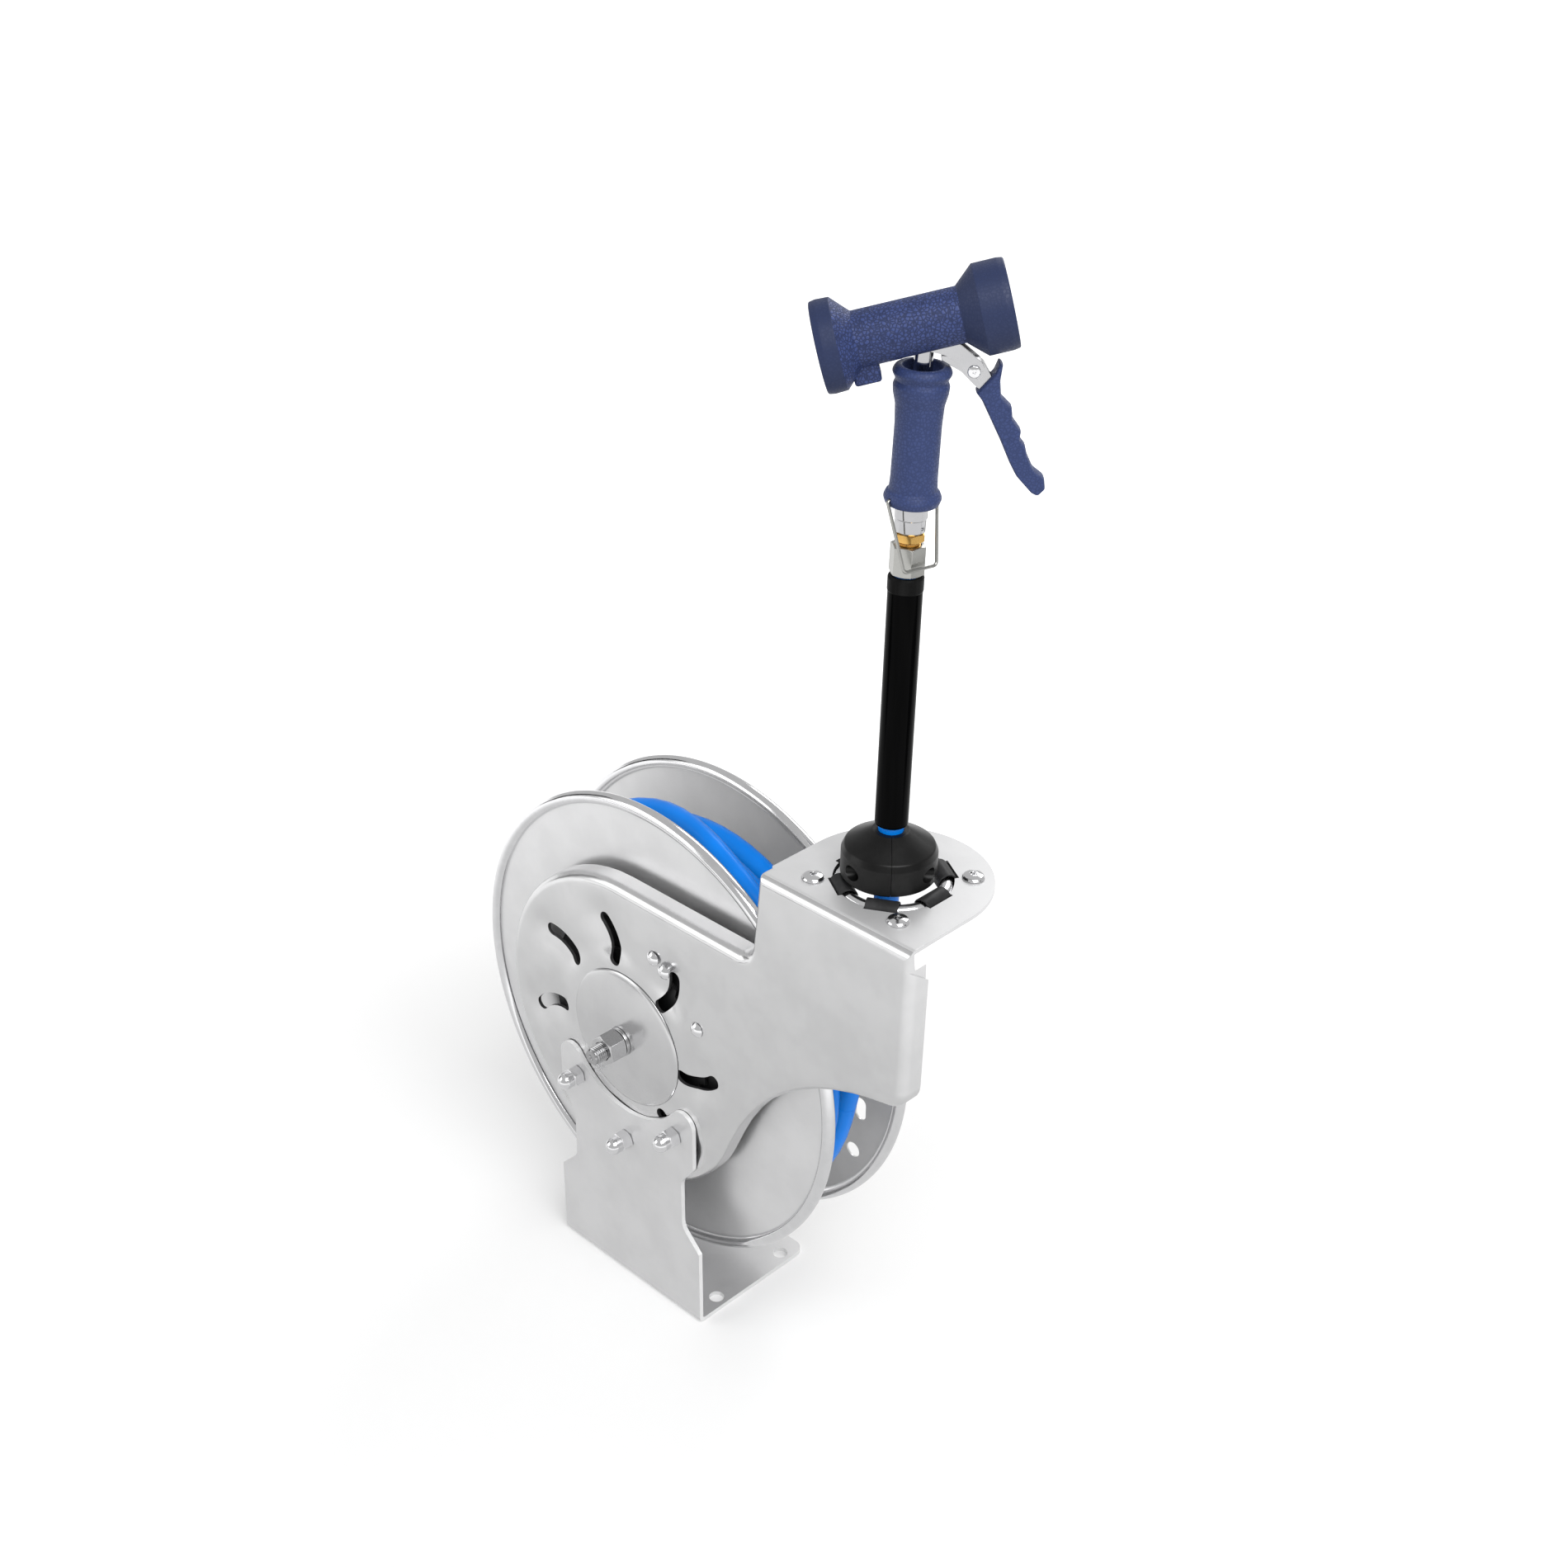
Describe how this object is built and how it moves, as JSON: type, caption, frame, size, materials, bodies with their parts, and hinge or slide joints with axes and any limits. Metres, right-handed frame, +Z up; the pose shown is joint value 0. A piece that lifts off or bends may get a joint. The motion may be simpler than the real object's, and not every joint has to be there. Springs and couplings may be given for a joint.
{
  "type": "fire hose reel",
  "caption": "Open spring-rewind hose reel on an L bracket, with a side arm and roller hose guide, coiled hose, hose stop and a trigger wash-down gun.",
  "frame": {"origin": "centre of the foot's underside", "axes": "+Z up; +X from the axle towards the hose guide; +Y from the side arm's face through the spool to the water inlet"},
  "size_m": [0.5169, 0.2235, 0.9469],
  "materials": {
    "steel": "satin",
    "polished": "polished",
    "black_steel": "satin black",
    "spring_steel": "blued",
    "brass": "machined",
    "bronze": "machined",
    "blue_hose": "smooth",
    "black_plastic": "matte",
    "black_sleeve": "glossy",
    "navy_rubber": "grained"
  },
  "bodies": {
    "frame": {"base_bracket": "steel", "guide_arm": "steel", "hub_dish": "steel", "axle": "steel", "axle_washer": "polished", "axle_nut": "polished", "cap_nut_1": "polished", "cap_nut_2": "polished", "cap_nut_3": "polished", "arm_rivet_1": "polished", "arm_rivet_2": "polished", "arm_rivet_3": "polished", "guide_ring": "polished", "ring_retainer": "steel", "guide_screw_1": "polished", "guide_screw_2": "polished", "guide_screw_3": "polished", "guide_screw_4": "polished", "inlet_elbow": "brass"},
    "spool": {"near_flange": "steel", "far_flange": "steel", "drum": "steel", "spring_case": "black_steel", "ratchet_wheel": "black_steel", "mainspring": "spring_steel", "bush_front": "bronze", "bush_rear": "bronze", "hose_core": "blue_hose", "hose_winding": "blue_hose", "swivel_housing": "brass", "gooseneck": "brass"},
    "hose_lead": {"hose_run": "blue_hose", "hose_end": "blue_hose", "stop_left": "black_plastic", "stop_right": "black_plastic", "stop_screw_1": "polished", "stop_screw_2": "polished", "hose_sleeve": "black_sleeve", "hose_ferrule": "steel", "brass_nipple": "brass"},
    "gun": {"gun_collar": "polished", "gun_body": "polished", "grip_cover": "navy_rubber", "barrel_cover": "navy_rubber", "nozzle_tip": "polished", "trigger_pin": "polished"},
    "valve": {"valve_rod": "polished"},
    "trigger": {"trigger_lever": "polished", "trigger_cover": "navy_rubber"},
    "bail": {"lock_bail": "polished"},
    "ratchet_pawl": {"pawl": "black_steel"},
    "roller_1": {"guide_roller_1": "black_plastic"},
    "roller_2": {"guide_roller_2": "black_plastic"},
    "roller_3": {"guide_roller_3": "black_plastic"},
    "roller_4": {"guide_roller_4": "black_plastic"},
    "roller_5": {"guide_roller_5": "black_plastic"},
    "roller_6": {"guide_roller_6": "black_plastic"}
  },
  "joints": [
    {"name": "spool_turn", "type": "hinge", "parent": "frame", "child": "spool", "pos_m": [0, 0, 0.2583], "axis": [0, -1, 0], "range_deg": [0, 720], "stiffness_Nm_per_rad": 0.25, "springref_deg": -401.07},
    {"name": "hose_pull", "type": "slide", "parent": "frame", "child": "hose_lead", "axis": [0, 0, 1], "range_m": [0, 2.19], "deforming": ["hose_run"]},
    {"name": "gun_swivel", "type": "hinge", "parent": "hose_lead", "child": "gun", "pos_m": [0.2296, 0.00728, 0.72975], "axis": [0.0288, 0.0279, 0.9992], "continuous": true},
    {"name": "trigger_squeeze", "type": "hinge", "parent": "gun", "child": "trigger", "pos_m": [0.25744, 0.03426, 0.87521], "axis": [-0.6959, 0.7181, 0], "range_deg": [0, 18], "stiffness_Nm_per_rad": 1.2, "springref_deg": -14.32},
    {"name": "valve_lift", "type": "slide", "parent": "gun", "child": "valve", "axis": [0.0288, 0.0279, 0.9992], "range_m": [0, 0.0061]},
    {"name": "bail_swing", "type": "hinge", "parent": "gun", "child": "bail", "pos_m": [0.23124, 0.00887, 0.7867], "axis": [-0.1886, -0.9815, 0.0329], "range_deg": [0, 140]},
    {"name": "pawl_swing", "type": "hinge", "parent": "frame", "child": "ratchet_pawl", "pos_m": [0.0485, -0.0502, 0.3477], "axis": [0, -1, 0], "range_deg": [0, 12], "stiffness_Nm_per_rad": 0.05, "springref_deg": -17.19},
    {"name": "roller_turn_1", "type": "hinge", "parent": "frame", "child": "roller_1", "pos_m": [0.26743, 0.0065, 0.481], "axis": [0, 1, 0], "continuous": true},
    {"name": "roller_turn_2", "type": "hinge", "parent": "frame", "child": "roller_2", "pos_m": [0.24811, 0.03995, 0.481], "axis": [-0.866, 0.5, 0], "continuous": true},
    {"name": "roller_turn_3", "type": "hinge", "parent": "frame", "child": "roller_3", "pos_m": [0.20949, 0.03995, 0.481], "axis": [-0.866, -0.5, 0], "continuous": true},
    {"name": "roller_turn_4", "type": "hinge", "parent": "frame", "child": "roller_4", "pos_m": [0.19017, 0.0065, 0.481], "axis": [0, -1, 0], "continuous": true},
    {"name": "roller_turn_5", "type": "hinge", "parent": "frame", "child": "roller_5", "pos_m": [0.20949, -0.02695, 0.481], "axis": [0.866, -0.5, 0], "continuous": true},
    {"name": "roller_turn_6", "type": "hinge", "parent": "frame", "child": "roller_6", "pos_m": [0.24811, -0.02695, 0.481], "axis": [0.866, 0.5, 0], "continuous": true}
  ],
  "couplings": [
    {"joint": "hose_pull", "follows": "spool_turn", "m_per_rad": 0.1738},
    {"joint": "valve_lift", "follows": "trigger_squeeze", "m_per_rad": 0.019}
  ]
}
